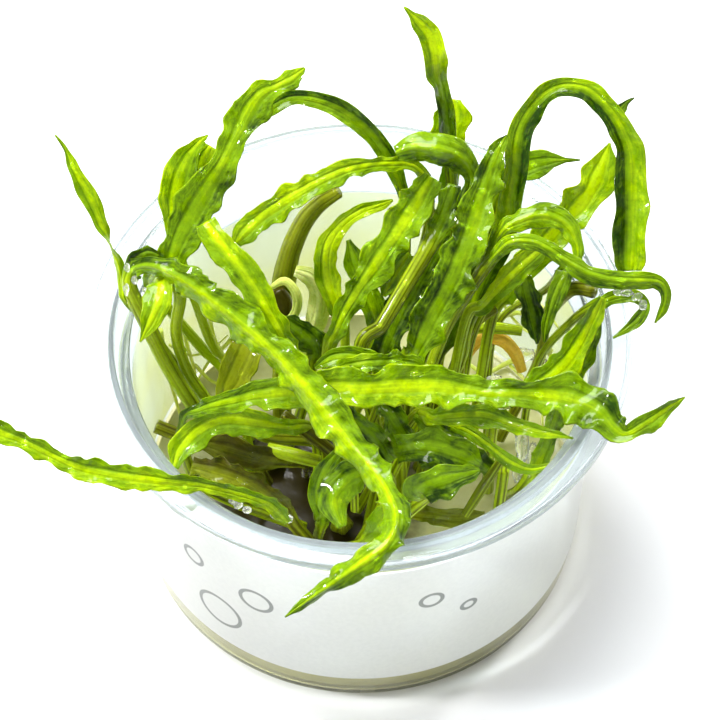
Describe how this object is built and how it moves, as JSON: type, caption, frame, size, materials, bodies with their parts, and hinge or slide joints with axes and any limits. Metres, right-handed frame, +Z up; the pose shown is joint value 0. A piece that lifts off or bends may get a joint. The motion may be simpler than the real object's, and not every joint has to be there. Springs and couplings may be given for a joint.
{
  "type": "potted aquarium plant",
  "caption": "Young aquarium plants with long crinkled green leaves, growing from gel in a clear round cup with a plain sleeve.",
  "frame": {"origin": "centre of the cup's underside", "axes": "+Z up along the cup's axis, -Y towards the front of the cup, +X to the right"},
  "size_m": [0.1392, 0.118, 0.111],
  "materials": {
    "clear_plastic": "clear moulded plastic, glossy, faintly blue in its thickness",
    "label_paper": "plain white sleeve, satin",
    "gel": "clear to olive growing gel, wet",
    "crown_olive": "plant crown, satin",
    "leaf_green": "fresh green leaf, wet gloss",
    "leaf_light": "yellow-green young leaf, wet gloss",
    "leaf_deep": "deep green leaf underside, wet gloss",
    "stalk_olive": "olive brown petiole, wet gloss",
    "stalk_amber": "amber petiole, wet gloss",
    "sheath_pale": "pale green sheath, wet gloss"
  },
  "bodies": {
    "root": {"crown_edge": "crown_olive", "crown_front": "crown_olive", "crown_left": "crown_olive", "crown_middle": "crown_olive", "crown_right": "crown_olive", "cup": "clear_plastic", "gel": "gel", "leaf_across": "leaf_light", "leaf_across_fold": "leaf_light", "leaf_arch_left": "leaf_green", "leaf_arch_right": "leaf_green", "leaf_behind_right": "leaf_deep", "leaf_bent_down": "leaf_light", "leaf_between": "leaf_green", "leaf_broad_centre": "leaf_light", "leaf_broad_front": "leaf_deep", "leaf_broad_low": "leaf_deep", "leaf_brown_inner": "stalk_olive", "leaf_crinkled_right": "leaf_light", "leaf_curled_front": "leaf_deep", "leaf_curved_right": "leaf_deep", "leaf_dark_centre": "leaf_deep", "leaf_dark_fold": "leaf_deep", "leaf_dark_hanging": "leaf_deep", "leaf_dark_pointed": "leaf_deep", "leaf_dark_right": "leaf_deep", "leaf_far_left": "leaf_green", "leaf_folded_left": "leaf_green", "leaf_front_low": "leaf_deep", "leaf_hanging": "leaf_light", "leaf_knot": "leaf_green", "leaf_lobe_back": "leaf_light", "leaf_midrib_right": "leaf_light", "leaf_narrow_front": "leaf_light", "leaf_olive_front": "stalk_olive", "leaf_olive_inner": "stalk_olive", "leaf_olive_point": "leaf_green", "leaf_over_left_rim": "leaf_green", "leaf_reaching_right": "leaf_green", "leaf_ribbed_centre": "leaf_green", "leaf_rising_right": "leaf_light", "leaf_small_right": "leaf_deep", "leaf_steep_left": "leaf_light", "leaf_stiff_centre": "leaf_deep", "leaf_tall_left": "leaf_green", "leaf_tip_right": "leaf_green", "leaf_under_across": "leaf_green", "leaf_upright": "leaf_green", "leaf_wet_across": "leaf_green", "leaf_wet_low": "stalk_olive", "leaf_yellow_tip": "leaf_light", "sheath_pale": "sheath_pale", "sleeve_label": "label_paper", "stalk_amber": "stalk_amber", "stalk_cut_front": "leaf_deep", "stalk_cut_left": "stalk_olive", "stalk_cut_right": "stalk_olive", "stalk_front_left": "leaf_green", "stalk_green_right": "leaf_deep", "stalk_olive_back": "stalk_olive"}
  },
  "joints": []
}
